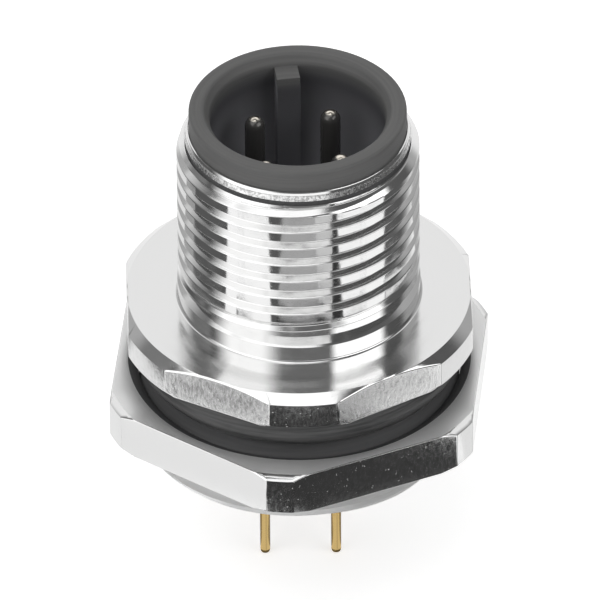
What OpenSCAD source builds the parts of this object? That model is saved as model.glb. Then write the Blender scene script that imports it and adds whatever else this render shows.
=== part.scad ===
// Panel receptacle of the round, screw-locked M12 family, male, four contacts with solder tails.
// Millimetres. The origin is on the axis, in the plane of the flange's underside, where the
// panel is clamped. +Z points to the mating end, and +Y to the key of the contact carrier.

/* [Shell, mating side] */
// Outside diameter of the mating thread
mating_d = 11.95; // [11.6:0.05:13]
// Pitch of the mating thread
mating_pitch = 1; // [0.75:0.05:1.25]
// Width of the flat crest of the mating thread
mating_crest = 0.5; // [0.2:0.05:0.6]
// Thread grooves on the mating side
mating_turns = 8; // [4:1:12]
// Smooth band between the flange and the first groove
band_h = 0.85; // [0.5:0.05:3]
// Height of the cone that leads onto the thread
lead_cone_h = 0.5; // [0.2:0.05:1]
// Height of the pilot in front of the thread
pilot_h = 0.4; // [0.2:0.05:1]
// How far the pilot lies below the crest of the thread
pilot_depth = 0.375; // [0.2:0.025:0.5]
// Chamfer at the end of the pilot
pilot_chamfer = 0.125; // [0.05:0.025:0.2]

/* [Shell, flange] */
// How much wider the flange is across its flats than the mounting thread
flange_margin = 1.1; // [0.6:0.1:4]
// How far the turned corners of the flange stand out beyond its flats
flange_corner = 0.5; // [0.3:0.05:1.2]
// Thickness of the flange
flange_t = 1.9; // [1.2:0.1:4]
// Turn of the flange's hexagon away from the key
flange_turn = -6.2; // [-30:0.1:30]
// Width of the chamfer round the top of the flange
flange_chamfer_w = 0.5; // [0.2:0.05:0.8]
// Height of the chamfer round the top of the flange
flange_chamfer_h = 0.4; // [0.2:0.05:0.8]
// Chamfer round the underside of the flange
flange_break = 0.2; // [0.05:0.05:0.3]

/* [Shell, panel side] */
// Outside diameter of the mounting thread
mount_d = 15.9; // [15.4:0.05:16.3]
// Pitch of the mounting thread
mount_pitch = 1.5; // [1:0.05:1.75]
// Thread grooves on the mounting side
mount_turns = 3; // [2:1:8]
// Width of the flat crest of the mounting thread
mount_crest = 0.3; // [0.2:0.05:0.6]
// Metal between the last groove and the end face
mount_end_h = 0.28; // [0.1:0.01:1]
// Chamfer at the end of the mounting thread
mount_chamfer = 0.65; // [0.2:0.05:0.8]
// Bore behind the contact carrier
rear_bore_d = 12.4; // [11:0.1:13]
// Depth of the neck for the seal, below the crest of the mounting thread
neck_depth = 1.75; // [1.3:0.05:1.85]
// Depth of the step in the bore, below the panel plane
step_depth = 3; // [2.6:0.1:4]

/* [Panel seal] */
// Diameter of the round section of the panel seal
seal_section = 1.95; // [1.2:0.05:2.5]
// Gap left at each side of a seal in its groove
seal_gap = 0.025; // [0.01:0.005:0.1]

/* [Nut] */
// How much wider the nut is across its flats than the mounting thread
nut_margin = 2.1; // [1.9:0.1:6]
// How far the turned corners of the nut stand out beyond its flats
nut_corner = 1.03; // [0.3:0.01:1.3]
// Thickness of the nut
nut_t = 2.3; // [1.5:0.1:3]
// Gap between the panel seal and the nut
nut_gap = 0.22; // [0.1:0.01:0.5]
// Turn of the nut's hexagon away from the key
nut_turn = -13.3; // [-30:0.1:30]
// Width of the chamfers round the nut
nut_chamfer_w = 0.35; // [0.1:0.05:0.6]
// Height of the chamfers round the nut
nut_chamfer_h = 0.2; // [0.1:0.05:0.4]
// How far the countersinks of the nut open beyond the mounting thread
nut_sink = 0.55; // [0.2:0.05:0.7]
// Radial clearance between the nut's thread and the mounting thread
thread_gap = 0.1; // [0.06:0.01:0.15]

/* [Contact carrier] */
// Diameter of the rim that stands on the shell
rim_d = 10.7; // [10.2:0.1:10.9]
// Height of the rim above the shell
rim_h = 1.3; // [0.8:0.1:3]
// Diameter of the carrier inside the shell
carrier_d = 9.6; // [9.2:0.1:9.8]
// Radial gap between the carrier and the shell
carrier_gap = 0.04; // [0.02:0.01:0.1]
// Diameter of the cavity
cavity_d = 8.64; // [8:0.02:8.8]
// Depth of the cavity below the rim
cavity_depth = 8.5; // [5:0.5:9]
// Width of the bevel at the cavity's mouth
mouth_w = 0.3; // [0.1:0.02:0.4]
// Height of the bevel at the cavity's mouth
mouth_h = 0.45; // [0.1:0.05:0.8]
// Width of the key
key_w = 1.15; // [0.8:0.05:1.4]
// How far the key stands out of the cavity wall
key_reach = 1.06; // [0.6:0.01:1.2]
// How far the key's top lies below the mouth's bevel
key_drop = 0.1; // [0:0.05:1]

/* [Inner seal] */
// Diameter of the round section of the seal round the carrier
inner_section = 0.78; // [0.5:0.01:0.8]
// Height of the middle of that seal above the panel plane
inner_seal_z = 1; // [0.8:0.1:2]

/* [Contacts] */
// Diameter of the circle on which the contacts stand
contact_circle_d = 5.3; // [5:0.05:5.6]
// Diameter of the mating pin
pin_d = 1; // [0.8:0.02:1.1]
// How far the pins end below the rim
pin_recess = 1.7; // [1:0.05:3]
// Radius of the dome that rounds the pin's tip
tip_dome = 0.55; // [0.51:0.01:1]
// Diameter of the pin's shank, which stands in the carrier
shank_d = 1.36; // [1.32:0.02:1.44]
// How far the shank stands out of the cavity's floor
shank_stand = 0.3; // [0.1:0.05:1]
// Diameter of the collar that holds a contact in the carrier
collar_d = 1.84; // [1.8:0.02:2.2]
// Height of the collar
collar_h = 1.2; // [0.6:0.1:1.5]
// Diameter of the solder tail
tail_d = 0.5; // [0.4:0.02:0.6]
// Side of the tail's square shank, which stands in the rear disc
tail_shank_w = 0.7; // [0.6:0.02:0.72]
// Diameter of the circle of the solder tails
tail_circle_d = 5; // [4.8:0.05:5.3]
// Angle by which the tails are turned back from the pins, so that their square faces forward
tail_turn = 7.6; // [0:0.1:8]
// How far that shank stands out of the rear disc
tail_shank_stand = 0.3; // [0.1:0.05:1]
// How far the tails stand out of the shell
tail_len = 6.37; // [2:0.01:12]
// Radius of the dome that rounds the tail's end
tail_dome = 0.3; // [0.25:0.01:0.5]
// Radial gap round a contact in its holes
contact_gap = 0.02; // [0.01:0.005:0.05]

/* [Rear disc] */
// Thickness of the disc that closes the carrier from behind
disc_t = 1.6; // [1:0.1:2.5]
// Radial gap between the disc and the shell's bore
disc_gap = 0.02; // [0.01:0.01:0.1]

/* [Hidden] */
$fn = 96;
eps = 0.01;
// How far a cutter or a bounding prism stands out of what it cuts
over = 1;
thread_half_angle = 30;
sink_half_angle = 60;
// Flat root of a thread, as a share of its pitch
root_share = 1 / 8;

mating_r = mating_d / 2;
band_top = flange_t + band_h;
thread_top = band_top + mating_turns * mating_pitch;
pilot_r = mating_r - pilot_depth;
shell_top = thread_top + lead_cone_h + pilot_h;
rim_top = shell_top + rim_h;

// The panel seal sits in the neck between the flange and the mounting thread
mount_r = mount_d / 2;
flange_af = mount_d + flange_margin;
neck_r = mount_r - neck_depth;
seal_inner_d = 2 * (neck_r + seal_gap);
neck_h = seal_section + 2 * seal_gap;
seal_z = -neck_h / 2;
shell_bottom = -neck_h - mount_turns * mount_pitch - mount_end_h;

nut_af = mount_d + nut_margin;
nut_top = -neck_h - nut_gap;
nut_bottom = nut_top - nut_t;

carrier_r = carrier_d / 2;
shell_bore_r = carrier_r + carrier_gap;
cavity_r = cavity_d / 2;
cavity_floor = rim_top - cavity_depth;
key_top = rim_top - mouth_h - key_drop;
inner_groove_r = shell_bore_r - seal_gap - inner_section - seal_gap;
inner_groove_h = inner_section + 2 * seal_gap;

pin_r = pin_d / 2;
pin_top = rim_top - pin_recess;
shank_r = shank_d / 2;
shank_top = cavity_floor + shank_stand;
collar_r = collar_d / 2;
collar_top = collar_h - step_depth;
tail_r = tail_d / 2;
disc_bottom = -step_depth - disc_t;
tail_shank_end = disc_bottom - tail_shank_stand;
tail_end = shell_bottom - tail_len;
// Places of the contacts round the axis, anticlockwise from +X
contact_angles = [45, 135, 225, 315];

// Depth of a thread groove whose flanks stand at the thread angle
function groove_depth(pitch, crest) = (pitch - crest - pitch * root_share) / 2 / tan(thread_half_angle);

// Outline of a threaded stretch, upwards from z: a groove and the crest above it for each turn
function thread_outline(r, z, pitch, crest, turns) = [
    for (turn = [0 : turns - 1])
        let (low = z + turn * pitch,
             high = low + pitch - crest,
             root_low = (low + high - pitch * root_share) / 2,
             root_high = (low + high + pitch * root_share) / 2,
             root_r = r - groove_depth(pitch, crest))
        each [[r, low], [root_r, root_low], [root_r, root_high], [r, high]]
];

// A solid turned from an outline of radius and height
module turned(outline) rotate_extrude() polygon(outline);

// A disc between two heights, with a chamfer of its own at each rim
module turned_disc(r, low, high, low_w, low_h, high_w, high_h)
    turned([[0, low], [r - low_w, low], [r, low + low_h], [r, high - high_h], [r - high_w, high], [0, high]]);

// A hexagon whose corners are turned to a diameter and chamfered
module turned_hexagon(af, corner, low, high, low_w, low_h, high_w, high_h, turn)
    intersection() {
        turned_disc(af / 2 + corner, low, high, low_w, low_h, high_w, high_h);
        rotate(turn + 90) translate([0, 0, low - over])
            cylinder(d = af / cos(30), h = high - low + 2 * over, $fn = 6);
    }

// A straight pin from low to high that ends in a dome at the top
module domed_pin(r, low, high, dome) {
    shoulder = high - dome + sqrt(dome * dome - r * r);
    translate([0, 0, low]) cylinder(r = r, h = shoulder - low);
    intersection() {
        translate([0, 0, low]) cylinder(r = r, h = high - low);
        translate([0, 0, high - dome]) sphere(r = dome);
    }
}

// A square bar from low to high
module square_bar(width, low, high)
    translate([0, 0, (low + high) / 2]) cube([width, width, high - low], center = true);

// A ring of round section
module ring(inner_d, section, z)
    translate([0, 0, z]) rotate_extrude() translate([(inner_d + section) / 2, 0]) circle(d = section);

// The place of one contact
module at_contact(angle) rotate(angle) translate([contact_circle_d / 2, 0, 0]) children();

// The place of one solder tail, under its contact
module at_tail(angle) rotate(angle - tail_turn) translate([tail_circle_d / 2, 0, 0]) children();

// Mounting thread, upwards from the end face to the neck, grown by a gap for the nut's cutter
module mounting_thread(gap)
    turned(concat([[0, shell_bottom], [mount_r + gap, shell_bottom]],
                  thread_outline(mount_r + gap, shell_bottom + mount_end_h, mount_pitch, mount_crest,
                                 mount_turns),
                  [[mount_r + gap, -neck_h], [0, -neck_h]]));

// Mating thread on its smooth band, with the cone and the pilot that lead a mating nut onto it
module mating_thread()
    turned(concat([[0, flange_t / 2], [mating_r, flange_t / 2]],
                  thread_outline(mating_r, band_top, mating_pitch, mating_crest, mating_turns),
                  [[mating_r, thread_top], [pilot_r, thread_top + lead_cone_h],
                   [pilot_r, shell_top - pilot_chamfer], [pilot_r - pilot_chamfer, shell_top], [0, shell_top]]));

// One turned piece: mating thread, flange, neck for the seal and mounting thread
module shell() color("gainsboro")
    difference() {
        union() {
            mating_thread();
            turned_hexagon(flange_af, flange_corner, 0, flange_t, flange_break, flange_break,
                           flange_chamfer_w, flange_chamfer_h, flange_turn);
            translate([0, 0, -neck_h - eps]) cylinder(r = neck_r, h = neck_h + 2 * eps);
            intersection() {
                mounting_thread(0);
                turned_disc(mount_r, shell_bottom, -neck_h, mount_chamfer, mount_chamfer,
                            mount_chamfer, mount_chamfer);
            }
        }
        translate([0, 0, shell_bottom - over])
            cylinder(r = shell_bore_r, h = shell_top - shell_bottom + 2 * over);
        translate([0, 0, shell_bottom - over]) cylinder(d = rear_bore_d, h = over - step_depth - shell_bottom);
    }

// Insulating insert: the rim rests on the shell, and the cavity is open to the mating side
module contact_carrier() color("dimgray")
    difference() {
        union() {
            difference() {
                union() {
                    translate([0, 0, shell_top]) cylinder(d = rim_d, h = rim_h);
                    translate([0, 0, -step_depth]) cylinder(r = carrier_r, h = shell_top + step_depth + eps);
                }
                translate([0, 0, cavity_floor]) cylinder(r = cavity_r, h = cavity_depth + over);
                translate([0, 0, rim_top - mouth_h])
                    cylinder(r1 = cavity_r, r2 = cavity_r + mouth_w, h = mouth_h + eps);
            }
            key();
        }
        for (angle = contact_angles) at_contact(angle) {
            translate([0, 0, -step_depth - over])
                cylinder(r = shank_r + contact_gap, h = cavity_floor + step_depth + 2 * over);
            translate([0, 0, -step_depth - over]) cylinder(r = collar_r + contact_gap, h = collar_h + over);
        }
        translate([0, 0, inner_seal_z - inner_groove_h / 2])
            difference() {
                cylinder(r = carrier_r + over, h = inner_groove_h);
                cylinder(r = inner_groove_r, h = inner_groove_h);
            }
    }

// The coding key, a rib down the cavity wall
module key()
    intersection() {
        translate([-key_w / 2, cavity_r - key_reach, cavity_floor - eps])
            cube([key_w, key_reach + (carrier_r - cavity_r) / 2, key_top - cavity_floor + eps]);
        translate([0, 0, cavity_floor - over])
            cylinder(r = (cavity_r + carrier_r) / 2, h = cavity_depth + over);
    }

// Seal between the carrier and the shell's bore
module inner_seal() color("saddlebrown")
    ring(2 * (inner_groove_r + seal_gap), inner_section, inner_seal_z);

// Disc pressed in from behind: it holds the contacts' collars in the carrier
module rear_disc() color("darkslategray")
    difference() {
        translate([0, 0, -step_depth - disc_t]) cylinder(r = rear_bore_d / 2 - disc_gap, h = disc_t);
        for (angle = contact_angles) at_tail(angle)
            square_bar(tail_shank_w + 2 * contact_gap, disc_bottom - over, -step_depth + over);
    }

// Seal between the flange and the panel
module panel_seal() color("black") ring(seal_inner_d, seal_section, seal_z);

// Nut that clamps the panel from behind, threaded to run on the shell
module hex_nut() color("silver")
    difference() {
        turned_hexagon(nut_af, nut_corner, nut_bottom, nut_top, nut_chamfer_w, nut_chamfer_h,
                       nut_chamfer_w, nut_chamfer_h, nut_turn);
        mounting_thread(thread_gap);
        countersink(nut_top, 1);
        countersink(nut_bottom, -1);
    }

// Countersink that opens out of the nut's face at z, upwards (1) or downwards (-1)
module countersink(z, way) {
    sink_r = mount_r + nut_sink;
    depth = (nut_sink + groove_depth(mount_pitch, mount_crest)) / tan(sink_half_angle);
    turned([[0, z - way * depth], [sink_r - depth * tan(sink_half_angle), z - way * depth],
            [sink_r, z], [sink_r, z + way * over], [0, z + way * over]]);
}

// One contact: mating pin with a domed tip, collar, and solder tail
module contact(angle) color("gold") {
    at_contact(angle) {
        domed_pin(pin_r, shank_top - eps, pin_top, tip_dome);
        translate([0, 0, collar_top - eps]) cylinder(r = shank_r, h = shank_top - collar_top + eps);
        translate([0, 0, -step_depth]) cylinder(r = collar_r, h = collar_h);
    }
    at_tail(angle) {
        square_bar(tail_shank_w, tail_shank_end, -step_depth + eps);
        mirror([0, 0, 1]) domed_pin(tail_r, -tail_shank_end - eps, -tail_end, tail_dome);
    }
}

shell();
contact_carrier();
inner_seal();
rear_disc();
panel_seal();
hex_nut();
contact(contact_angles[0]);  // contact_1
contact(contact_angles[1]);  // contact_2
contact(contact_angles[2]);  // contact_3
contact(contact_angles[3]);  // contact_4
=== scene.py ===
# Panel receptacle with a nickel-plated shell, dark plastic insert, gold contacts, seal and nut.
# Pieces are drawn at the bench in millimetres, and brought to metres when they are done.
import math

import bpy
from mathutils import Matrix, Vector


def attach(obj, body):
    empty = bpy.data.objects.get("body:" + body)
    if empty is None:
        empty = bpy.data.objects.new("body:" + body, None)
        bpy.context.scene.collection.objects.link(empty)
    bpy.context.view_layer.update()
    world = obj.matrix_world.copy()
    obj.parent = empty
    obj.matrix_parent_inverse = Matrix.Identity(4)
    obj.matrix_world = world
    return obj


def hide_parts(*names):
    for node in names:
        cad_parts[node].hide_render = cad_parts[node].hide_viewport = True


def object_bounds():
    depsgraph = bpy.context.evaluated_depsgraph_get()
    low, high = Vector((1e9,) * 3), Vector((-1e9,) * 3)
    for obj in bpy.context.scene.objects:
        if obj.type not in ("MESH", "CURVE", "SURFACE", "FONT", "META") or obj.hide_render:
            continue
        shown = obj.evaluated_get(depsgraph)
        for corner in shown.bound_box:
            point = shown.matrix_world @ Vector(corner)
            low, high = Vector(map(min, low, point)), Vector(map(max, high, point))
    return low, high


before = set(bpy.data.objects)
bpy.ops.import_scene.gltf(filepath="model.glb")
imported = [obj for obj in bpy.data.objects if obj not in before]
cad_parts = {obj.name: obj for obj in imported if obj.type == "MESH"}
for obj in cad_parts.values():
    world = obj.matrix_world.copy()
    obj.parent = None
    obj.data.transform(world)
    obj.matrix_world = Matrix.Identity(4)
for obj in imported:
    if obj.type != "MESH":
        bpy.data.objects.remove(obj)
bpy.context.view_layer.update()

MM = 0.001

# The photograph's view
VIEW_AZIMUTH = -7.6
VIEW_ELEVATION = 37.16
VIEW_ROLL = -0.41
VIEW_DISTANCE = 784.0
PIXELS_PER_MM = 20.24
PICTURE_PIXELS = 600
SENSOR = 36.0
AIM_RIGHT = 0.05
AIM_HEIGHT = 1.2
CLIP_START = 0.05
CLIP_END = 20

# Steps round the axis of turned pieces, and round the seal's section
STEPS = 192
MILL_STEPS = 64
CONTACT_STEPS = 48
SEAL_STEPS = 32
# Vertices closer together than this are one, and coarser where a cut left slivers
MERGE = 1e-4
SLIVER_MERGE = 0.006
# How closely a hexagon's flat faces its direction and lies at its distance from the axis
FLAT_NORMAL = 0.9995
FLAT_TOLERANCE = 0.01
# A hexagon's prism reaches this far past the piece that it shapes
PRISM_OVER = 1
SMOOTH_ANGLE = 35
SHELL_SMOOTH_ANGLE = 30
CONTACT_SMOOTH_ANGLE = 50

# Shell, mating side
MATING_R = 5.975
BAND_R = 6.0
MATING_PITCH = 1.0
CREST_W = 0.5
ROOT_W = 0.125
GROOVE_DEPTH = 0.33
CREST_ROUND = 0.05
ROOT_ROUND = 0.04
FLANGE_TOP = 1.9
BAND_TOP = 2.79
BAND_FILLET = 0.13
RELIEF_TOP = 3.45
RELIEF_R = 5.475
RELIEF_SLOPE = math.tan(math.radians(30))
LEAD_TOP = 11.25
LEAD_BOTTOM = 10.77
LEAD_TURNS = 3
LEAD_DETAIL = 0.04
PILOT_R = 5.6
SHELL_TOP = 11.65
# The shell's front lip is rolled a little way up the insert's rim
LIP_TOP = 11.88
LIP_GAP = 0.015
LIP_W = 0.12
LIP_ROUND = 0.03
LIP_SLOPE = 0.01
LIP_SHOULDER = 0.05
LIP_FLARE = 0.02
LIP_FOOT = 11.72
LIP_GROOVE_R = 5.44
LIP_GROOVE_Z = 11.675
CONE_TOP_R = 5.51
CONE_TOP = 11.63
CONE_FOOT_R = 5.565
CONE_FOOT = 11.42
# A narrow recess parts the lip from the thread's lead-in
RECESS_R = 5.5
RECESS_TOP = 11.38
RECESS_FOOT = 11.2
# Below the recess the core narrows to the relief's radius, inside the thread
CORE_STEP_H = 0.1
# The thread blank starts at this angle, a crest's middle at this height
THREAD_START = 82.5
THREAD_START_Z = 2.03
THREAD_TURNS = 10
RUN_OUT_TURNS = (1.0, 2.0)
BLANK_BORE_R = 5.2
BLANK_WALL = 0.05
# The ring that trims the thread blank to the relief's slope and the recess
TRIM_INNER_R = 5.0
TRIM_FOOT_R = 5.4
TRIM_OUTER_R = 6.3

# Shell, flange and panel side
FLANGE_AF = 17.0
FLANGE_R = 9.0
FLANGE_TURN = -6.2
FLANGE_CHAMFER_W = 0.5
FLANGE_CHAMFER_H = 0.4
FLANGE_BREAK = 0.2
FLANGE_EDGE = 0.07
NECK_R = 6.2
NECK_BOTTOM = -2.0
MOUNT_R = 7.95
MOUNT_PITCH = 1.5
MOUNT_CHAMFER = 0.65
SHELL_BOTTOM = -6.78
BORE_R = 4.84
REAR_BORE_R = 6.2
BORE_STEP = -3.0
# The ring that mills the flange's flats
MILL_INNER_R = 8.0
MILL_OUTER_R = 12.0
MILL_OVER = 0.3
# The mounting thread's groove; its cutter starts below the shell's end
MOUNT_MOUTH_W = 1.2
MOUNT_ROOT_W = 0.1875
MOUNT_DEPTH = 0.877
MOUNT_CUT_OVER = 0.3
MOUNT_CUT_DROP = 1.04
MOUNT_CUT_TURNS = 3.5

# Nut
NUT_AF = 18.0
NUT_R = 10.03
NUT_TURN = -13.3
NUT_TOP = -2.22
NUT_BOTTOM = -4.52
NUT_CHAMFER_W = 0.35
NUT_CHAMFER_H = 0.2
NUT_EDGE = 0.05
NUT_SINK_R = 8.5
NUT_SINK_ANGLE = 60
NUT_BORE_R = 8.0

# Panel seal
SEAL_R = 0.975
SEAL_CENTRE_R = 7.2
SEAL_Z = -1.0

# Contact carrier
RIM_R = 5.35
RIM_TOP = 12.95
RIM_ROUND = 0.13
CARRIER_R = 4.8
CARRIER_BEVEL = 0.06
CAVITY_R = 4.32
CAVITY_FLOOR = 4.45
MOUTH_W = 0.3
MOUTH_H = 0.45
MOUTH_FOOT_ROUND = 0.5
MOUTH_TOP_ROUND = 0.2
KEY_W = 1.15
KEY_REACH = 1.06
KEY_TOP = 12.4
KEY_SINK = 0.5

# Contacts
CONTACT_CIRCLE_R = 2.65
CONTACT_ANGLES = (45, 135, 225, 315)
PIN_R = 0.5
PIN_TOP = 11.25
SHANK_R = 0.68
SHANK_TOP = 4.75
COLLAR_R = 0.92
COLLAR_TOP = -1.8
TAIL_CIRCLE_R = 2.5
TAIL_TURN = 7.6
TAIL_SHANK_W = 0.7
TAIL_SHANK_END = -4.9
TAIL_R = 0.25
TAIL_END = -13.15
# A tail's end: share of its radius, and height above its end
TAIL_TIP = ((1, 0.14), (0.86, 0.05), (0.55, 0))
# Parts of a contact reach this far into each other before they are joined
TAIL_SINK = 0.2
SHANK_SINK = 0.1

FLOOR_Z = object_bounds()[0][2]


def deselect_all():
    """Leaves nothing selected, in object mode."""
    if bpy.context.object and bpy.context.object.mode != "OBJECT":
        bpy.ops.object.mode_set(mode="OBJECT")
    bpy.ops.object.select_all(action="DESELECT")


def select_only(piece):
    deselect_all()
    bpy.context.view_layer.objects.active = piece
    piece.select_set(True)


def edit(piece):
    """Opens a piece in edit mode with everything selected."""
    select_only(piece)
    bpy.ops.object.mode_set(mode="EDIT")
    bpy.ops.mesh.select_mode(type="VERT")
    bpy.ops.mesh.select_all(action="SELECT")


def leave_edit():
    bpy.ops.object.mode_set(mode="OBJECT")


def to_metres(piece):
    """Brings a finished piece from millimetres to metres, in its mesh."""
    edit(piece)
    bpy.ops.transform.resize(value=(MM, MM, MM), center_override=(0, 0, 0))
    leave_edit()


def arc(centre_r, centre_z, radius, start, end, count):
    """Points of an arc in the outline plane, from one angle to another in degrees."""
    turns = [math.radians(start + (end - start) * step / count) for step in range(count + 1)]
    return [(centre_r + radius * math.cos(turn), centre_z + radius * math.sin(turn))
            for turn in turns]


def rounded(before, corner, after, radius, count=4):
    """Points of the arc that rounds a corner between two straight lines of an outline."""
    here = Vector(corner)
    back, on = (Vector(before) - here).normalized(), (Vector(after) - here).normalized()
    half = back.angle(on) / 2
    reach = radius / math.tan(half)
    centre = here + (back + on).normalized() * radius / math.sin(half)
    first, last = here + back * reach - centre, here + on * reach - centre
    turn = first.angle_signed(last)
    made = []
    for step in range(count + 1):
        part = -turn * step / count
        made.append((centre.x + first.x * math.cos(part) - first.y * math.sin(part),
                     centre.y + first.x * math.sin(part) + first.y * math.cos(part)))
    return made


def split_long(points, longest):
    """The same line with points put in where they lie further apart than the given length."""
    made = [points[0]]
    for here, there in zip(points, points[1:]):
        parts = max(1, math.ceil(math.dist(here, there) / longest))
        for part in range(1, parts + 1):
            made.append(tuple(a + (b - a) * part / parts for a, b in zip(here, there)))
    return made


def draw_loop(name, points):
    """A closed line, drawn from one vertex by extruding it from point to point, in edit mode."""
    deselect_all()
    bpy.ops.mesh.primitive_plane_add(size=1)
    piece = bpy.context.object
    piece.name = name
    edit(piece)
    bpy.ops.mesh.merge(type="CENTER")
    bpy.ops.transform.translate(value=points[0])
    for here, there in zip(points, points[1:] + points[:1]):
        step = tuple(b - a for a, b in zip(here, there))
        bpy.ops.mesh.extrude_vertices_move(TRANSFORM_OT_translate={"value": step})
    bpy.ops.mesh.select_all(action="SELECT")
    bpy.ops.mesh.remove_doubles(threshold=MERGE)
    return piece


def draw_outline(name, points):
    """A closed line in the XZ plane."""
    return draw_loop(name, [(radius, 0, height) for radius, height in points])


def turn_piece(name, points, steps=STEPS):
    """A piece turned round the Z axis from a closed outline."""
    piece = draw_outline(name, points)
    bpy.ops.mesh.spin(steps=steps, angle=math.tau, center=(0, 0, 0), axis=(0, 0, 1))
    bpy.ops.mesh.select_all(action="SELECT")
    bpy.ops.mesh.remove_doubles(threshold=MERGE)
    bpy.ops.mesh.normals_make_consistent(inside=False)
    leave_edit()
    return piece


def add_block(name, size, centre):
    """A box of the given size round a centre."""
    deselect_all()
    bpy.ops.mesh.primitive_cube_add(size=1)
    block = bpy.context.object
    block.name = name
    edit(block)
    bpy.ops.transform.resize(value=size, center_override=(0, 0, 0))
    bpy.ops.transform.translate(value=centre)
    leave_edit()
    return block


def hexagon_prism(name, across_flats, low, high, turn):
    """A hexagon between two heights, turned round the axis."""
    deselect_all()
    bpy.ops.mesh.primitive_cylinder_add(
        vertices=6, radius=across_flats / 2 / math.cos(math.pi / 6), depth=high - low,
        location=(0, 0, (low + high) / 2))
    prism = bpy.context.object
    prism.name = name
    select_only(prism)
    prism.rotation_euler = (0, 0, math.radians(turn))
    bpy.ops.object.transform_apply(location=True, rotation=True, scale=True)
    return prism


def hexagon_ways(turn):
    """Angles that a hexagon's flats face."""
    return [math.radians(turn + 60 * side) for side in range(6)]


def apply_modifier(piece, kind, **values):
    select_only(piece)
    bpy.ops.object.modifier_add(type=kind)
    modifier = piece.modifiers[-1]
    for key, value in values.items():
        setattr(modifier, key, value)
    bpy.ops.object.modifier_apply(modifier=modifier.name)


def cut(piece, tool, operation="DIFFERENCE"):
    """Cuts a piece with a tool, joins them or keeps what they share; the tool goes away."""
    apply_modifier(piece, "BOOLEAN", operation=operation, object=tool, solver="EXACT")
    bpy.data.objects.remove(tool)


def sweep(outline, pitch, steps):
    """Draws an outline round the axis as a helix."""
    turns = steps / STEPS
    apply_modifier(outline, "SCREW", axis="Z", angle=math.tau * turns, iterations=1, steps=steps,
                   render_steps=steps, screw_offset=pitch * turns, use_merge_vertices=False,
                   use_normal_calculate=True)


def close_ends():
    """Fills the open ends of the helix that is in edit mode."""
    bpy.ops.mesh.select_all(action="DESELECT")
    bpy.ops.mesh.select_non_manifold(extend=False, use_wire=False, use_multi_face=False,
                                     use_non_contiguous=False, use_verts=False)
    bpy.ops.mesh.fill_holes(sides=0)
    bpy.ops.mesh.select_all(action="SELECT")
    bpy.ops.mesh.normals_make_consistent(inside=False)


def break_flat_edges(piece, turn, reach, width):
    """Rounds the edges round a hexagon's six flats, which lie at reach from the axis."""
    edit(piece)
    bpy.ops.mesh.remove_doubles(threshold=SLIVER_MERGE)
    bpy.ops.mesh.select_all(action="DESELECT")
    leave_edit()
    mesh = piece.data
    flat = set()
    for face in mesh.polygons:
        for way in hexagon_ways(turn):
            along = Vector((math.cos(way), math.sin(way), 0))
            if (face.normal.dot(along) > FLAT_NORMAL
                    and abs(face.center.dot(along) - reach) < FLAT_TOLERANCE):
                flat.add(face.index)
    owners = {}
    for face in mesh.polygons:
        for key in face.edge_keys:
            owners.setdefault(key, []).append(face.index)
    for edge in mesh.edges:
        pair = owners.get(edge.key, [])
        edge.select = len(pair) == 2 and (pair[0] in flat) != (pair[1] in flat)
    bpy.ops.object.mode_set(mode="EDIT")
    bpy.ops.mesh.select_mode(type="EDGE")
    bpy.ops.mesh.bevel(offset=width, offset_type="OFFSET", segments=2, profile=0.5,
                       clamp_overlap=False, loop_slide=False)
    leave_edit()


def smooth(piece, angle=SMOOTH_ANGLE):
    """Smooth shading that keeps edges sharper than an angle."""
    select_only(piece)
    bpy.ops.object.shade_smooth_by_angle(angle=math.radians(angle))
    apply_modifier(piece, "WEIGHTED_NORMAL", keep_sharp=True, weight=50)


def lead_radius(height):
    """Radius of the cone that leads into the thread."""
    cone = PILOT_R + (LEAD_TOP - height) * (MATING_R - PILOT_R) / (LEAD_TOP - LEAD_BOTTOM)
    return max(cone, BLANK_BORE_R + BLANK_WALL)


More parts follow.
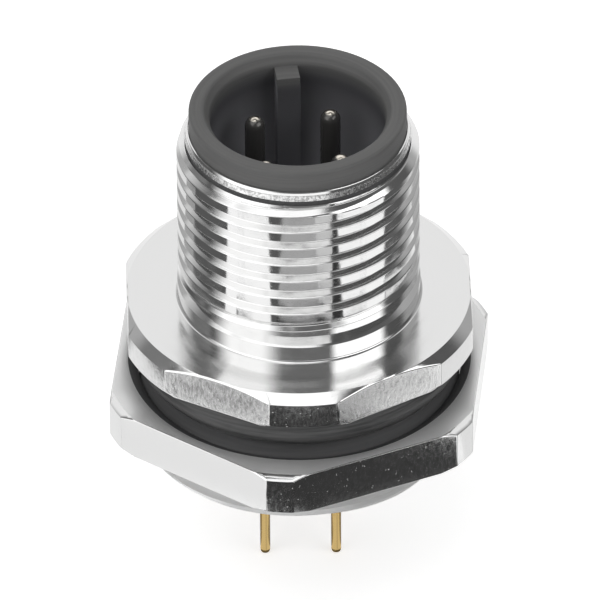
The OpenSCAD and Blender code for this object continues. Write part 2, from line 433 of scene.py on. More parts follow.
def thread_blank(name):
    """A helical blank whose section has one groove for each turn; its first groove runs out."""
    crest_r, root_r = MATING_R, MATING_R - GROOVE_DEPTH
    half = MATING_PITCH / 2
    corners = [(crest_r, -half), (crest_r, -half + CREST_W / 2), (root_r, -ROOT_W / 2),
               (root_r, ROOT_W / 2), (crest_r, half - CREST_W / 2), (crest_r, half)]
    rounds = (CREST_ROUND, ROOT_ROUND, ROOT_ROUND, CREST_ROUND)
    turn_points = [corners[0]]
    for index, radius in enumerate(rounds, 1):
        turn_points += rounded(corners[index - 1], corners[index], corners[index + 1], radius)
    fine_points = split_long(turn_points + [corners[-1]], LEAD_DETAIL)[:-1]
    # Each point of the section has its turn, from which it runs out; the bore's points have none
    points, places = [], []
    for turn in range(THREAD_TURNS):
        middle = THREAD_START_Z + half + turn * MATING_PITCH
        section = fine_points if turn >= THREAD_TURNS - LEAD_TURNS else turn_points
        points += [(r, z + middle) for r, z in section]
        places += [turn] * len(section)
    top = THREAD_START_Z + THREAD_TURNS * MATING_PITCH
    points.append((crest_r, top))
    places.append(THREAD_TURNS)
    for turn in range(THREAD_TURNS, -1, -1):
        points.append((BLANK_BORE_R, THREAD_START_Z + turn * MATING_PITCH))
        places.append(None)
    blank = draw_outline(name, points)
    leave_edit()
    sweep(blank, MATING_PITCH, STEPS)
    first, last = RUN_OUT_TURNS
    for vertex in blank.data.vertices:
        step, place = divmod(vertex.index, len(points))
        if places[place] is None:
            continue
        along = places[place] + step / STEPS
        share = min(max((along - first) / (last - first), 0), 1)
        radius = math.hypot(vertex.co.x, vertex.co.y)
        wanted = min(crest_r - (crest_r - radius) * share, lead_radius(vertex.co.z))
        vertex.co.x *= wanted / radius
        vertex.co.y *= wanted / radius
    edit(blank)
    bpy.ops.mesh.remove_doubles(threshold=MERGE)
    close_ends()
    bpy.ops.transform.rotate(value=-math.radians(THREAD_START), orient_axis="Z",
                             center_override=(0, 0, 0))
    leave_edit()
    return blank


def mount_cutter(name):
    """A plain helical cutter for the coarse thread behind the flange."""
    flank = (MOUNT_MOUTH_W - MOUNT_ROOT_W) / 2 / MOUNT_DEPTH
    first = SHELL_BOTTOM - MOUNT_CUT_DROP
    outer, mouth = MOUNT_R + MOUNT_CUT_OVER, MOUNT_MOUTH_W / 2
    inner, root = MOUNT_R - MOUNT_DEPTH, MOUNT_ROOT_W / 2
    cutter = draw_outline(name, [
        (outer, first - mouth - MOUNT_CUT_OVER * flank), (inner, first - root),
        (inner, first + root), (outer, first + mouth + MOUNT_CUT_OVER * flank)])
    leave_edit()
    sweep(cutter, MOUNT_PITCH, round(MOUNT_CUT_TURNS * STEPS))
    edit(cutter)
    close_ends()
    leave_edit()
    return cutter


def relief_height(radius):
    """Height of the thread's sloping lower end at a radius."""
    return RELIEF_TOP + (radius - MATING_R) * RELIEF_SLOPE


def make_shell():
    """The turned shell with its helical threads and milled flats."""
    relief_low = BAND_TOP + (BAND_R - RELIEF_R) * RELIEF_SLOPE
    lip_in = RIM_R + LIP_GAP
    lip_out = lip_in + LIP_W
    outline = [
        (BORE_R, SHELL_TOP), (lip_in, SHELL_TOP), (lip_in, LIP_TOP - LIP_ROUND),
        (lip_in + LIP_ROUND, LIP_TOP), (lip_out - LIP_ROUND, LIP_TOP - LIP_SLOPE),
        (lip_out, LIP_TOP - LIP_SHOULDER), (lip_out + LIP_FLARE, LIP_FOOT),
        (LIP_GROOVE_R, LIP_GROOVE_Z), (CONE_TOP_R, CONE_TOP), (CONE_FOOT_R, CONE_FOOT),
        (RECESS_R, RECESS_TOP), (RECESS_R, LEAD_BOTTOM + CORE_STEP_H), (RELIEF_R, LEAD_BOTTOM),
        (RELIEF_R, relief_low), (BAND_R, BAND_TOP),
        *rounded((BAND_R, BAND_TOP), (BAND_R, FLANGE_TOP), (FLANGE_R, FLANGE_TOP), BAND_FILLET),
        (FLANGE_R - FLANGE_CHAMFER_W, FLANGE_TOP), (FLANGE_R, FLANGE_TOP - FLANGE_CHAMFER_H),
        (FLANGE_R, FLANGE_BREAK), (FLANGE_R - FLANGE_BREAK, 0), (NECK_R, 0), (NECK_R, NECK_BOTTOM),
        (MOUNT_R - MOUNT_CHAMFER, NECK_BOTTOM), (MOUNT_R, NECK_BOTTOM - MOUNT_CHAMFER),
        (MOUNT_R, SHELL_BOTTOM + MOUNT_CHAMFER), (MOUNT_R - MOUNT_CHAMFER, SHELL_BOTTOM),
        (REAR_BORE_R, SHELL_BOTTOM), (REAR_BORE_R, BORE_STEP), (BORE_R, BORE_STEP),
    ]
    shell = turn_piece("shell_turned", outline)
    mill_low, mill_high = -MILL_OVER, FLANGE_TOP + MILL_OVER
    ring = turn_piece("flat_mill", [(MILL_INNER_R, mill_low), (MILL_OUTER_R, mill_low),
                                    (MILL_OUTER_R, mill_high), (MILL_INNER_R, mill_high)],
                      MILL_STEPS)
    cut(ring, hexagon_prism("flange_hexagon", FLANGE_AF, -PRISM_OVER, FLANGE_TOP + PRISM_OVER,
                            FLANGE_TURN))
    cut(shell, ring)
    break_flat_edges(shell, FLANGE_TURN, FLANGE_AF / 2, FLANGE_EDGE)
    cut(shell, mount_cutter("mount_cutter"))
    blank = thread_blank("mating_blank")
    trim = [(TRIM_INNER_R, relief_height(TRIM_FOOT_R)), (TRIM_FOOT_R, relief_height(TRIM_FOOT_R)),
            (TRIM_OUTER_R, relief_height(TRIM_OUTER_R)), (TRIM_OUTER_R, RECESS_FOOT),
            (TRIM_INNER_R, RECESS_FOOT)]
    cut(blank, turn_piece("thread_trim", trim), "INTERSECT")
    cut(shell, blank, "UNION")
    smooth(shell, SHELL_SMOOTH_ANGLE)
    to_metres(shell)
    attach(shell, "receptacle")
    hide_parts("shell")
    return shell


def make_nut():
    """The hexagon nut: turned corners, chamfers and countersinks."""
    sink = (NUT_SINK_R - NUT_BORE_R) / math.tan(math.radians(NUT_SINK_ANGLE))
    outline = [
        (NUT_SINK_R, NUT_TOP), (NUT_R - NUT_CHAMFER_W, NUT_TOP), (NUT_R, NUT_TOP - NUT_CHAMFER_H),
        (NUT_R, NUT_BOTTOM + NUT_CHAMFER_H), (NUT_R - NUT_CHAMFER_W, NUT_BOTTOM),
        (NUT_SINK_R, NUT_BOTTOM), (NUT_BORE_R, NUT_BOTTOM + sink), (NUT_BORE_R, NUT_TOP - sink),
    ]
    nut = turn_piece("nut_turned", outline)
    hexagon = hexagon_prism("nut_hexagon", NUT_AF, NUT_BOTTOM - PRISM_OVER, NUT_TOP + PRISM_OVER,
                            NUT_TURN)
    cut(nut, hexagon, "INTERSECT")
    break_flat_edges(nut, NUT_TURN, NUT_AF / 2, NUT_EDGE)
    smooth(nut)
    to_metres(nut)
    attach(nut, "nut")
    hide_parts("hex_nut")
    return nut


def make_seal():
    """The panel seal under the flange."""
    circle = arc(SEAL_CENTRE_R, SEAL_Z, SEAL_R, 0, 360, SEAL_STEPS)[:-1]
    seal = turn_piece("seal_ring", circle)
    smooth(seal)
    to_metres(seal)
    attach(seal, "receptacle")
    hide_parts("panel_seal")
    return seal


def make_carrier():
    """The plastic insert with its cavity, mouth bevel and key."""
    floor, mouth = (CAVITY_R, CAVITY_FLOOR), (CAVITY_R, RIM_TOP - MOUTH_H)
    inner, outer, foot = (CAVITY_R + MOUTH_W, RIM_TOP), (RIM_R, RIM_TOP), (RIM_R, SHELL_TOP)
    outline = [
        (0, CAVITY_FLOOR), floor, *rounded(floor, mouth, inner, MOUTH_FOOT_ROUND),
        *rounded(mouth, inner, outer, MOUTH_TOP_ROUND), *rounded(inner, outer, foot, RIM_ROUND, 5),
        foot, (CARRIER_R, SHELL_TOP), (CARRIER_R, BORE_STEP), (0, BORE_STEP),
    ]
    carrier = turn_piece("carrier_insert", outline)
    key_out = (CAVITY_R + CARRIER_R) / 2
    length = key_out - CAVITY_R + KEY_REACH
    key = add_block("key_rib", (KEY_W, length, KEY_TOP - CAVITY_FLOOR + KEY_SINK),
                    (0, key_out - length / 2, (KEY_TOP + CAVITY_FLOOR - KEY_SINK) / 2))
    cut(carrier, key, "UNION")
    apply_modifier(carrier, "BEVEL", width=CARRIER_BEVEL, segments=3, limit_method="ANGLE",
                   angle_limit=math.radians(SMOOTH_ANGLE), use_clamp_overlap=True)
    smooth(carrier)
    to_metres(carrier)
    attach(carrier, "receptacle")
    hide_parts("contact_carrier")
    return carrier


def make_contacts():
    """Four contacts, one modelled and copied round the axis: turned pin, square shank and tail."""
    pin = turn_piece("contact_pin_1", [
        (0, PIN_TOP), *arc(0, PIN_TOP - PIN_R, PIN_R, 80, 0, 8), (PIN_R, SHANK_TOP),
        (SHANK_R, SHANK_TOP), (SHANK_R, COLLAR_TOP), (COLLAR_R, COLLAR_TOP), (COLLAR_R, BORE_STEP),
        (0, BORE_STEP)], CONTACT_STEPS)
    tail_top = TAIL_SHANK_END + TAIL_SINK
    tip = [(TAIL_R * share, TAIL_END + height) for share, height in TAIL_TIP]
    tail = turn_piece("contact_tail", [(0, tail_top), (TAIL_R, tail_top), *tip, (0, TAIL_END)],
                      CONTACT_STEPS)
    shank_top = BORE_STEP + SHANK_SINK
    shank = add_block("contact_shank", (TAIL_SHANK_W, TAIL_SHANK_W, shank_top - TAIL_SHANK_END),
                      (0, 0, (shank_top + TAIL_SHANK_END) / 2))
    cut(shank, tail, "UNION")
    turn = math.radians(-TAIL_TURN)
    tail_place = (TAIL_CIRCLE_R * math.cos(turn), TAIL_CIRCLE_R * math.sin(turn), 0)
    for part, place in ((pin, (CONTACT_CIRCLE_R, 0, 0)), (shank, tail_place)):
        edit(part)
        bpy.ops.transform.translate(value=place)
        leave_edit()
    cut(pin, shank, "UNION")
    smooth(pin, CONTACT_SMOOTH_ANGLE)
    pieces = [pin]
    for number in (2, 3, 4):
        copy = pin.copy()
        copy.data = pin.data.copy()
        copy.name = f"contact_pin_{number}"
        bpy.context.collection.objects.link(copy)
        pieces.append(copy)
    for number, (piece, angle) in enumerate(zip(pieces, CONTACT_ANGLES), 1):
        edit(piece)
        bpy.ops.transform.rotate(value=-math.radians(angle), orient_axis="Z",
                                 center_override=(0, 0, 0))
        leave_edit()
        to_metres(piece)
        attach(piece, "receptacle")
        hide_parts(f"contact_{number}")
    return pieces


def add_camera():
    """The photograph's camera: a long lens that looks down at the axis."""
    turn = Matrix.Rotation(math.radians(VIEW_AZIMUTH), 4, "Z")
    tilt = Matrix.Rotation(math.pi / 2 - math.radians(VIEW_ELEVATION), 4, "X")
    roll = Matrix.Rotation(math.radians(VIEW_ROLL), 4, "Z")
    turned = turn @ tilt
    aim = turned @ Vector((AIM_RIGHT, 0, 0)) + Vector((0, 0, AIM_HEIGHT))
    back = turned @ Vector((0, 0, VIEW_DISTANCE))
    deselect_all()
    bpy.ops.object.camera_add()
    camera = bpy.context.object
    camera.name = "photo_camera"
    camera.matrix_world = Matrix.Translation((aim + back) * MM) @ turned @ roll
    camera.data.sensor_width = SENSOR
    camera.data.lens = PIXELS_PER_MM * VIEW_DISTANCE * SENSOR / PICTURE_PIXELS
    camera.data.clip_start = CLIP_START
    camera.data.clip_end = CLIP_END
    bpy.context.scene.camera = camera


def add_node(tree, kind, values=None, **settings):
    """A node with its settings, and its inputs linked or set."""
    made = tree.nodes.new(kind)
    for key, value in settings.items():
        setattr(made, key, value)
    for key, value in (values or {}).items():
        if isinstance(value, bpy.types.NodeSocket):
            tree.links.new(value, made.inputs[key])
        else:
            made.inputs[key].default_value = value
    return made


def maths(tree, operation, *terms):
    """A Math node's result."""
    return add_node(tree, "ShaderNodeMath", dict(enumerate(terms)), operation=operation).outputs[0]


def scaled(tree, vector, factors):
    """A vector with each of its parts multiplied."""
    return add_node(tree, "ShaderNodeVectorMath", {0: vector, 1: factors},
                    operation="MULTIPLY").outputs[0]


def ramp(tree, value, low, high, out_low=0.0, out_high=1.0, kind="SMOOTHSTEP"):
    """Maps a value between two limits."""
    limits = {"Value": value, "From Min": low, "From Max": high, "To Min": out_low,
              "To Max": out_high}
    return add_node(tree, "ShaderNodeMapRange", limits, interpolation_type=kind).outputs[0]


def noise(tree, vector, scale, detail=2.0, rough=0.5):
    made = add_node(tree, "ShaderNodeTexNoise", {"Vector": vector, "Scale": scale,
                                                 "Detail": detail, "Roughness": rough})
    return made.outputs["Fac"]


def spread(tree, value, low=0.0, high=1.0):
    """Stretches the range that noise mostly keeps to, 0.3 to 0.7, to two other limits."""
    return ramp(tree, value, 0.3, 0.7, low, high)


def blend(tree, factor, first, second):
    """Mixes two colours by a factor."""
    made = add_node(tree, "ShaderNodeMix", data_type="RGBA")
    sockets = made.inputs[0], made.inputs[6], made.inputs[7]
    for socket, value in zip(sockets, (factor, first, second)):
        if isinstance(value, bpy.types.NodeSocket):
            tree.links.new(value, socket)
        else:
            socket.default_value = value
    return made.outputs[2]


def start_material(name, colour, metallic, roughness):
    """A material with its shader and the piece's own coordinates in millimetres."""
    made = bpy.data.materials.new(name)
    made.use_nodes = True
    tree = made.node_tree
    shader = tree.nodes["Principled BSDF"]
    shader.inputs["Base Color"].default_value = (*colour, 1)
    shader.inputs["Metallic"].default_value = metallic
    shader.inputs["Roughness"].default_value = roughness
    place = add_node(tree, "ShaderNodeTexCoord").outputs["Object"]
    return made, tree, shader, scaled(tree, place, (1 / MM, 1 / MM, 1 / MM))


def start_plain(name):
    """A material without a shader, for what only lights the scene."""
    made = bpy.data.materials.new(name)
    made.use_nodes = True
    made.node_tree.nodes.remove(made.node_tree.nodes["Principled BSDF"])
    return made, made.node_tree


def glow(tree, level):
    """White light that a surface gives off."""
    return add_node(tree, "ShaderNodeEmission", {"Color": WHITE, "Strength": level}).outputs[0]


def round_axis(tree, place):
    """Radius, place on the level and height, for marks that run round the axis."""
    parts = add_node(tree, "ShaderNodeSeparateXYZ", {0: place})
    flat = add_node(tree, "ShaderNodeCombineXYZ", {"X": parts.outputs["X"],
                                                   "Y": parts.outputs["Y"]}).outputs[0]
    radius = add_node(tree, "ShaderNodeVectorMath", {0: flat}, operation="LENGTH").outputs["Value"]
    return radius, flat, parts.outputs["Z"]


def turning_lines(tree, place, fineness, wander):
    """Coordinates drawn out round the axis, for marks as a lathe tool leaves them."""
    radius, flat, height = round_axis(tree, place)
    along = scaled(tree, flat, (wander, wander, 0))
    across = add_node(tree, "ShaderNodeCombineXYZ", {"X": radius, "Y": radius, "Z": height})
    across = scaled(tree, across.outputs[0], (fineness, 0, fineness))
    return add_node(tree, "ShaderNodeVectorMath", {0: along, 1: across},
                    operation="ADD").outputs[0]


def bump(tree, shader, height, strength, distance):
    """Raises the surface by a height; the distance is in metres."""
    made = add_node(tree, "ShaderNodeBump", {"Strength": strength, "Distance": distance,
                                             "Height": height})
    tree.links.new(made.outputs["Normal"], shader.inputs["Normal"])


def brushed_round(tree, shader, amount):
    """Stretches the gloss across the turning marks, which run round the axis."""
    tangent = add_node(tree, "ShaderNodeTangent", direction_type="RADIAL", axis="Z").outputs[0]
    tree.links.new(tangent, shader.inputs["Tangent"])
    shader.inputs["Anisotropic"].default_value = amount
    shader.inputs["Anisotropic Rotation"].default_value = 0.25


WHITE = (1, 1, 1, 1)
NICKEL = (0.79, 0.79, 0.788)
GOLD = (0.83, 0.59, 0.24)
# Painted shade: the tone of the cavity's wall and key just below the mouth
CAVITY_PAINTED_SHADE = (0.085, 0.085, 0.091, 1)


def nickel_turned():
    """Bright plating over turned metal: nearly a mirror, with faint lines and fine pits."""
    made, tree, shader, place = start_material("nickel_turned", NICKEL, 1.0, 0.08)
    brushed_round(tree, shader, 0.7)
    lines = noise(tree, turning_lines(tree, place, 9, 0.3), 1.0, 3.0, 0.6)
    pits = ramp(tree, noise(tree, place, 9.0, 2.0, 0.6), 0.6, 0.72)
    stains = noise(tree, place, 1.4, 3.0, 0.6)
    tree.links.new(ramp(tree, stains, 0.35, 0.7, 0.06, 0.13), shader.inputs["Roughness"])
    bump(tree, shader, maths(tree, "MULTIPLY_ADD", pits, 0.8, lines), 0.15, 4e-6)
    return made


def nickel_faced():
    """Faced metal: satin rings from the cutting tool."""
    made, tree, shader, place = start_material("nickel_faced", NICKEL, 1.0, 0.12)
    brushed_round(tree, shader, 0.8)
    lines = noise(tree, turning_lines(tree, place, 7, 0.25), 1.0, 4.0, 0.65)
    tree.links.new(spread(tree, lines, 0.09, 0.16), shader.inputs["Roughness"])
    bump(tree, shader, lines, 0.25, 4e-6)
    return made


def nickel_satin():
    """The nut's faces, the shell's end and the flange's underside: evenly satin, faint lines."""
    made, tree, shader, place = start_material("nickel_satin", (0.86, 0.86, 0.857), 0.6, 0.36)
    lines = noise(tree, turning_lines(tree, place, 6, 0.3), 1.0, 3.0, 0.6)
    tree.links.new(spread(tree, lines, 0.32, 0.4), shader.inputs["Roughness"])
    bump(tree, shader, lines, 0.15, 3e-6)
    return made


def nickel_milled(name, rough, grain_depth, speck_depth):
    """Hexagon sides: mottled along their height, with small bright specks."""
    made, tree, shader, place = start_material(name, NICKEL, 1.0, rough)
    mottle = noise(tree, scaled(tree, place, (7, 7, 3)), 1.0, 3.0, 0.6)
    specks = ramp(tree, noise(tree, place, 8.0, 1.0, 0.5), 0.72, 0.82)
    tree.links.new(spread(tree, mottle, rough * 0.7, rough * 1.3), shader.inputs["Roughness"])
    grain = maths(tree, "MULTIPLY_ADD", specks, speck_depth, mottle)
    bump(tree, shader, grain, 0.5, grain_depth)
    return made


def nickel_painted_shade():
    """Painted shade: plating painted dark and dull where the seal, the nut or the recess hides it.
    """
    made, tree, shader, place = start_material("nickel_painted_shade", (0.1, 0.1, 0.102), 0.4, 0.6)
    lines = noise(tree, turning_lines(tree, place, 8, 0.3), 1.0, 3.0, 0.6)
    tree.links.new(spread(tree, lines, 0.55, 0.7), shader.inputs["Roughness"])
    bump(tree, shader, lines, 0.4, 6e-6)
    return made


def nickel_worn():
    """The shell's front cone: plating rubbed dull and pitted."""
    made, tree, shader, place = start_material("nickel_worn", (0.66, 0.66, 0.658), 1.0, 0.3)
    pits = ramp(tree, noise(tree, place, 7.0, 3.0, 0.7), 0.45, 0.62)
    tone = blend(tree, pits, (0.72, 0.72, 0.718, 1), (0.5, 0.5, 0.498, 1))
    tree.links.new(ramp(tree, pits, 0.0, 1.0, 0.22, 0.4), shader.inputs["Roughness"])
    tree.links.new(tone, shader.inputs["Base Color"])
    bump(tree, shader, pits, 0.5, 1e-5)
    return made


def seal_rubber():
    """Black rubber with moulding lines round the ring."""
    made, tree, shader, place = start_material("seal_rubber", (0.05, 0.05, 0.051), 0.0, 0.36)
    lines = noise(tree, turning_lines(tree, place, 5, 0.25), 1.0, 3.0, 0.65)
    tone = blend(tree, spread(tree, lines), (0.035, 0.035, 0.036, 1), (0.095, 0.095, 0.095, 1))
    tree.links.new(tone, shader.inputs["Base Color"])
    tree.links.new(spread(tree, lines, 0.28, 0.45), shader.inputs["Roughness"])
    bump(tree, shader, lines, 0.6, 5e-5)
    return made


def carrier_plastic():
    """Dark moulded plastic, matt on the rim, with painted shade and painted light in the cavity:
    darker than the rim by its mouth, paler further down.
    """
    made, tree, shader, place = start_material("carrier_plastic", (0.1, 0.1, 0.1), 0.0, 0.6)
    radius, _, height = round_axis(tree, place)
    mouth = RIM_TOP - MOUTH_H
    deep = ramp(tree, height, mouth - 0.9, mouth, 1.0, 0.0)
    inside = ramp(tree, radius, CAVITY_R + 0.02, CAVITY_R + 0.06, 1.0, 0.0)
    shade = maths(tree, "MULTIPLY", deep, inside)
    lines = noise(tree, turning_lines(tree, place, 7, 0.2), 1.0, 3.0, 0.6)
    outer = blend(tree, spread(tree, lines), (0.116, 0.116, 0.115, 1), (0.138, 0.138, 0.136, 1))
    # Painted shade and painted light: the cavity's wall and the key's front are painted dark near
    # the top and paler downwards, where little light reaches them, so the cavity looks evenly dark
    lower = ramp(tree, height, CAVITY_FLOOR + 1.5, RIM_TOP - 1.5, 1.0, 0.0, "LINEAR")
    wall = blend(tree, lower, CAVITY_PAINTED_SHADE, (0.45, 0.45, 0.48, 1))
    front = blend(tree, lower, CAVITY_PAINTED_SHADE, (0.24, 0.24, 0.26, 1))
    # Painted light and shade: the key's two sides get a tone of their own that evens them out
    # against its front, and its top has the rim's tone
    aside = add_node(tree, "ShaderNodeSeparateXYZ", {0: place}).outputs["X"]
    beside = ramp(tree, maths(tree, "ABSOLUTE", aside), KEY_W / 2 - 0.02, KEY_W / 2 - 0.005)
    front = blend(tree, beside, front, (0.2, 0.2, 0.215, 1))
    rib = blend(tree, ramp(tree, height, KEY_TOP - 0.5, KEY_TOP - 0.05, 1.0, 0.0), outer, front)
    free = ramp(tree, radius, CAVITY_R - 0.3, CAVITY_R - 0.1, 1.0, 0.0)
    inner = blend(tree, free, wall, rib)
    gloss = ramp(tree, shade, 0.0, 1.0, 0.5, 0.1, "LINEAR")
    tree.links.new(blend(tree, shade, outer, inner), shader.inputs["Base Color"])
    tree.links.new(gloss, shader.inputs["Specular IOR Level"])
    bump(tree, shader, lines, 0.4, 1e-5)
    return made


def gold_plate():
    """Gold over turned contacts; the pins' shafts are painted dark as painted shade, and a small
    cap at each tip is painted pale as a painted highlight.
    """
    made, tree, shader, place = start_material("gold_plate", GOLD, 1.0, 0.2)
    height = round_axis(tree, place)[2]
    stains = noise(tree, place, 3.0, 2.0, 0.5)
    tree.links.new(spread(tree, stains, 0.14, 0.26), shader.inputs["Roughness"])
    # Painted highlight and painted shade: the top of each pin's tip is pale, the rest of the pin
    # dark and less metallic; the tails below keep the gold
    shaft = ramp(tree, height, PIN_TOP - 0.1, PIN_TOP - 0.03, 1.0, 0.0)
    pin = blend(tree, shaft, (0.92, 0.86, 0.76, 1), (0.11, 0.107, 0.103, 1))
    above = ramp(tree, height, 0.0, 1.0)
    metal = ramp(tree, maths(tree, "MULTIPLY", shaft, above), 0.0, 1.0, 1.0, 0.5)
    tree.links.new(metal, shader.inputs["Metallic"])
    tree.links.new(blend(tree, above, (*GOLD, 1), pin), shader.inputs["Base Color"])
    lines = noise(tree, turning_lines(tree, place, 12, 0.5), 1.0, 2.0, 0.5)
    bump(tree, shader, lines, 0.1, 2e-6)
    return made


def dress(piece, *made):
    """Gives a piece its materials."""
    piece.data.materials.clear()
    for one in made:
        piece.data.materials.append(one)


# A metal piece's finishes after the turned one, by their place in its list of materials
# The fourth of these is no finish but painted shade: dark, dull plating that stands in for shade.
FACED, FLATS, SIDES, PAINTED_SHADE, WORN, SATIN = range(1, 7)
# How level a faced surface and how upright a round side is, and where the round sides begin
FACED_NORMAL = 0.97
SIDE_NORMAL = 0.1
SIDE_INNER_R = 8.2


def dress_metal(piece, turn, finishes, zones):
    """Gives a metal piece its finishes by the way its faces look and where they lie.

    A zone is a finish, or painted shade, with the heights and radii that it lies between.
    """
    dress(piece, *finishes)
    for face in piece.data.polygons:
        out, height = math.hypot(face.center.x, face.center.y), face.center.z
        along = max(face.normal.x * math.cos(way) + face.normal.y * math.sin(way)
                    for way in hexagon_ways(turn))
        if abs(face.normal.z) > FACED_NORMAL and out > BAND_R * MM:
            face.material_index = FACED
        elif along > FLAT_NORMAL:
            face.material_index = FLATS
        elif abs(face.normal.z) < SIDE_NORMAL and out > SIDE_INNER_R * MM:
            face.material_index = SIDES
        for finish, low, high, inner, outer in zones:
            if low * MM < height < high * MM and inner * MM < out < outer * MM:
                face.material_index = finish


# Painted shade darkens the shell's chamfer and mounting thread under the seal and inside the nut,
# and the recess below the front cone; the other zones are satin and worn finishes.
SHELL_ZONES = (
    (PAINTED_SHADE, NUT_BOTTOM + 0.5, NECK_BOTTOM + 0.01, 0, MOUNT_R + 0.1),
    (SATIN, SHELL_BOTTOM - 0.1, NUT_BOTTOM + 0.3, NECK_R, MOUNT_R + 0.1),
    (SATIN, -0.05, 0.05, NECK_R, FLANGE_R + 0.1),
    (PAINTED_SHADE, RECESS_FOOT + 0.01, CONE_FOOT - 0.005, RECESS_R - 0.1, CONE_FOOT_R - 0.005),
    (WORN, CONE_FOOT, CONE_TOP + 0.03, LIP_GROOVE_R, CONE_FOOT_R),
)
# The nut's countersink is painted dark as painted shade.
NUT_ZONES = ((PAINTED_SHADE, NUT_TOP - 0.35, NUT_TOP - 0.01, NUT_BORE_R - 0.02, NUT_SINK_R),)

# Studio panels seen from the part, each over the one before: azimuth of the middle from the
# camera's side and half width, softness; lowest and highest elevation, softness; and level
WORLD_BASE = 0.11
PANELS = (
    (180, 52, 30, -60, 60, 20, 0.97),
    (-107, 14, 8, 5, 44, 6, 0.22),
    (-132, 16, 10, 5, 31, 4, 0.46),
    (139, 21, 14, 0, 42, 8, 0.44),
    (70, 45, 8, 44, 60, 4, 0.12),
    (-60, 52, 10, 44, 62, 6, 1.3),
    (-0.5, 29.5, 4, -26, 6, 4, 1.2),
    (0, 28, 6, 15, 46, 6, 0.2),
    (-52, 26.5, 24, -28, 47, 4, 1.5),
    (59.5, 27.5, 10, 12, 47, 4, 1.75),
    (-30, 75, 40, 60, 82, 8, 1.4),
    (0, 200, 10, 80, 95, 6, 1.25),
)
# Cards that lie round the part and show only in its gloss, each over the one before: level, and
# corners in millimetres to the right and away, as the camera sees them
CARDS = (
    (1.13, ((-10.5, -24.5), (-17, -34.5), (-21, -36), (-30, -28), (-38, -18), (-30, -13.5),
            (-21, -7.5), (-14, -2), (-10, -7), (-12, -16))),
    (0.95, ((-25, -8), (-25.5, 6), (-21, 10), (-18, 14), (-13, 6), (-14, -1), (-21, -7))),
    (0.4, ((-34, 10), (-30, 19), (-22, 19), (-20, 10))),
    (0.85, ((-32, 19), (-22, 34), (-8, 36), (-10, 24), (-18, 18))),
    (0.45, ((-9.5, -28.5), (9, -28.5), (9.5, -41), (-9, -41))),
    (0.68, ((9, -28.5), (13.5, -24), (19.5, -33), (16, -41), (9.5, -41))),
    (1.13, ((16.5, -19), (22, -34), (33, -28), (40, -16), (40, -5), (24, -4), (18, -1),
            (18.5, -9), (19.5, -12), (19, -14))),
    (0.9, ((16.5, -2), (29, -4), (29, 3), (24, 14), (17, 12), (18, 4))),
    (0.45, ((26, 19), (18, 19), (9, 26), (14, 34), (28, 28))),
    (0.04, ((-9.2, -20), (-2, -20.3), (7.8, -17.2), (16, -13.2), (18.3, -14.6), (16.5, -19),
            (19.9, -32.6), (18.9, -33), (13.2, -24.6), (9.8, -28.4), (-9.5, -28.4))),
    (0.28, ((-8, -11), (8, -11), (8, 7), (-8, 7))),
    (0.7, ((-1.8, -1.5), (-9.3, -4.4), (-9, -11), (9, -11), (9.3, -4.4), (1.8, -1.5), (0, -2.5))),
    (0.52, ((-1.77, -1.9), (0.2, -10.9), (4.6, -10.9))),
    (0.52, ((1.77, -1.9), (3.7, -10.9), (8.2, -10.9))),
    (0.21, ((-24, -16.2), (-18.2, -20.4), (-14.6, -18.4), (-21, -14.6))),
    (0.25, ((16.2, -17.6), (18.9, -16), (22.4, -13.2), (24, -14.2), (20, -18.6), (17.2, -20.2),
            (15.2, -19.6))),
    (0.95, ((-23, -8.6), (-14.4, -15.2), (-12, -13.6), (-19, -7))),
    (0.7, ((-9, -13), (7.5, -13), (7.5, -16.8), (-2, -20), (-9, -19.8))),
)
CARD_LIFT = 0.02
FLOOR_SIZE = 4
FLOOR_TONE = (0.8, 0.8, 0.8, 1)
FLOOR_GLOW = 0.6


def add_card(number, level, corners):
    """A card that lies on the floor and is seen only in reflections."""
    turn = math.radians(VIEW_AZIMUTH)
    turned = [(x * math.cos(turn) - y * math.sin(turn), x * math.sin(turn) + y * math.cos(turn), 0)
              for x, y in corners]
    piece = draw_loop(f"studio_card_{number}", turned)
    bpy.ops.mesh.edge_face_add()
    bpy.ops.transform.translate(value=(0, 0, FLOOR_Z / MM + CARD_LIFT * number))
    leave_edit()
    to_metres(piece)
    made, tree = start_plain(f"card_light_{number}")
    tree.links.new(glow(tree, level), tree.nodes["Material Output"].inputs["Surface"])
    dress(piece, made)
    piece.visible_camera = False
    piece.visible_diffuse = False
    piece.visible_shadow = False
    piece.visible_transmission = False


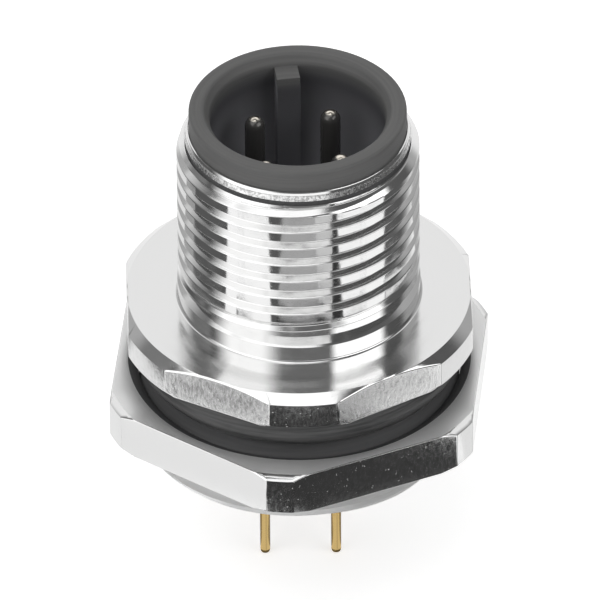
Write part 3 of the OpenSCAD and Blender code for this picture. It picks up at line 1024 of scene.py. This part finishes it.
def make_world():
    """Soft light from panels all round; the camera sees plain white."""
    world = bpy.data.worlds.new("studio_world")
    bpy.context.scene.world = world
    world.use_nodes = True
    tree = world.node_tree
    way = add_node(tree, "ShaderNodeTexCoord").outputs["Generated"]
    way = add_node(tree, "ShaderNodeMapping", {
        "Vector": way, "Rotation": (0, 0, -math.radians(VIEW_AZIMUTH))}).outputs[0]
    parts = add_node(tree, "ShaderNodeSeparateXYZ", {0: way})
    near = maths(tree, "MULTIPLY", parts.outputs["Y"], -1.0)
    azimuth = maths(tree, "DEGREES", maths(tree, "ARCTAN2", parts.outputs["X"], near))
    elevation = maths(tree, "DEGREES", maths(tree, "ARCSINE", parts.outputs["Z"]))
    level = WORLD_BASE
    for centre, half, soft, low, high, soft_high, strength in PANELS:
        aside = maths(tree, "WRAP", maths(tree, "SUBTRACT", azimuth, centre), -180.0, 180.0)
        aside = maths(tree, "ABSOLUTE", aside)
        across = ramp(tree, aside, half - soft / 2, half + soft / 2, 1.0, 0.0)
        middle, reach = (low + high) / 2, (high - low) / 2
        above = maths(tree, "ABSOLUTE", maths(tree, "SUBTRACT", elevation, middle))
        along = ramp(tree, above, reach - soft_high / 2, reach + soft_high / 2, 1.0, 0.0)
        inside = maths(tree, "MULTIPLY", across, along)
        level = add_node(tree, "ShaderNodeMix", {0: inside, 2: level, 3: strength},
                         data_type="FLOAT").outputs[0]
    seen = add_node(tree, "ShaderNodeLightPath").outputs["Is Camera Ray"]
    plain = add_node(tree, "ShaderNodeMix", {0: seen, 2: level, 3: 1.0}, data_type="FLOAT")
    background = tree.nodes["Background"]
    background.inputs["Color"].default_value = WHITE
    tree.links.new(plain.outputs[0], background.inputs["Strength"])


def make_floor():
    """A plain pale floor that keeps the part's shadow."""
    deselect_all()
    bpy.ops.mesh.primitive_plane_add(size=FLOOR_SIZE, location=(0, 0, FLOOR_Z))
    floor = bpy.context.object
    floor.name = "studio_floor"
    made, tree = start_plain("floor_white")
    matt = add_node(tree, "ShaderNodeBsdfDiffuse", {"Color": FLOOR_TONE}).outputs[0]
    seen = add_node(tree, "ShaderNodeLightPath").outputs["Is Camera Ray"]
    shine = glow(tree, maths(tree, "MULTIPLY", seen, FLOOR_GLOW))
    both = add_node(tree, "ShaderNodeAddShader", {0: matt, 1: shine})
    tree.links.new(both.outputs[0], tree.nodes["Material Output"].inputs["Surface"])
    dress(floor, made)
    floor.visible_glossy = False


add_camera()
shell = make_shell()
nut = make_nut()
seal = make_seal()
carrier = make_carrier()
contacts = make_contacts()

turned = nickel_turned()
sides = nickel_milled("nickel_nut_sides", 0.12, 7e-6, 2.0)
flats = nickel_milled("nickel_flange_flats", 0.15, 1.3e-5, 0.5)
# Painted shade: one dark, dull nickel stands in for the shade under the seal, inside the nut and
# in the recess below the front cone.
painted_shade_metal, satin = nickel_painted_shade(), nickel_satin()
dress_metal(shell, FLANGE_TURN,
            (turned, nickel_faced(), flats, sides, painted_shade_metal, nickel_worn(), satin), SHELL_ZONES)
# The nut is satin where other metal is faced
dress_metal(nut, NUT_TURN, (turned, satin, sides, sides, painted_shade_metal), NUT_ZONES)
rubber, plastic, gold = seal_rubber(), carrier_plastic(), gold_plate()
dress(seal, rubber)
dress(carrier, plastic)
for piece in contacts:
    dress(piece, gold)
dress(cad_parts["rear_disc"], plastic)
dress(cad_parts["inner_seal"], rubber)

make_world()
make_floor()
for number, (level, corners) in enumerate(CARDS, 1):
    add_card(number, level, corners)
bpy.context.scene.view_settings.view_transform = "Standard"
